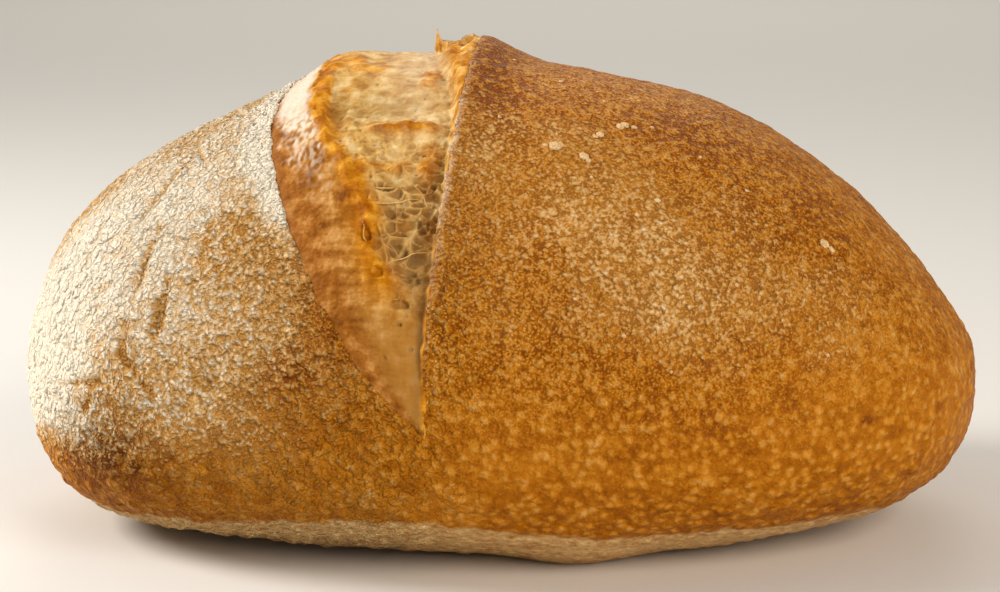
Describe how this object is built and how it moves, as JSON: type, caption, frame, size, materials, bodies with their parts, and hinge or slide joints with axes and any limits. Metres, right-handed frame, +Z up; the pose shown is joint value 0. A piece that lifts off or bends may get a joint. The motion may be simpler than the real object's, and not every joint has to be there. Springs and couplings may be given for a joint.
{
  "type": "crusty loaf",
  "caption": "Small oval hearth-baked loaf with a floury blistered crust, a flat base and a long slash that has burst open over torn crumb.",
  "frame": {"origin": "centre of the loaf's bounding box, on the flat base that it rests on", "axes": "+X along the loaf, so that the slash leans towards +X as it runs over the top; -Y towards the front, where the slash begins at the waist; +Z up"},
  "size_m": [0.22, 0.148, 0.1124],
  "materials": {
    "crust": "dry baked crust, matte with a faint satin where it is bare of flour, amber to deep brown, dusted pale with flour"
  },
  "bodies": {
    "root": {"loaf": "crust"}
  },
  "joints": []
}
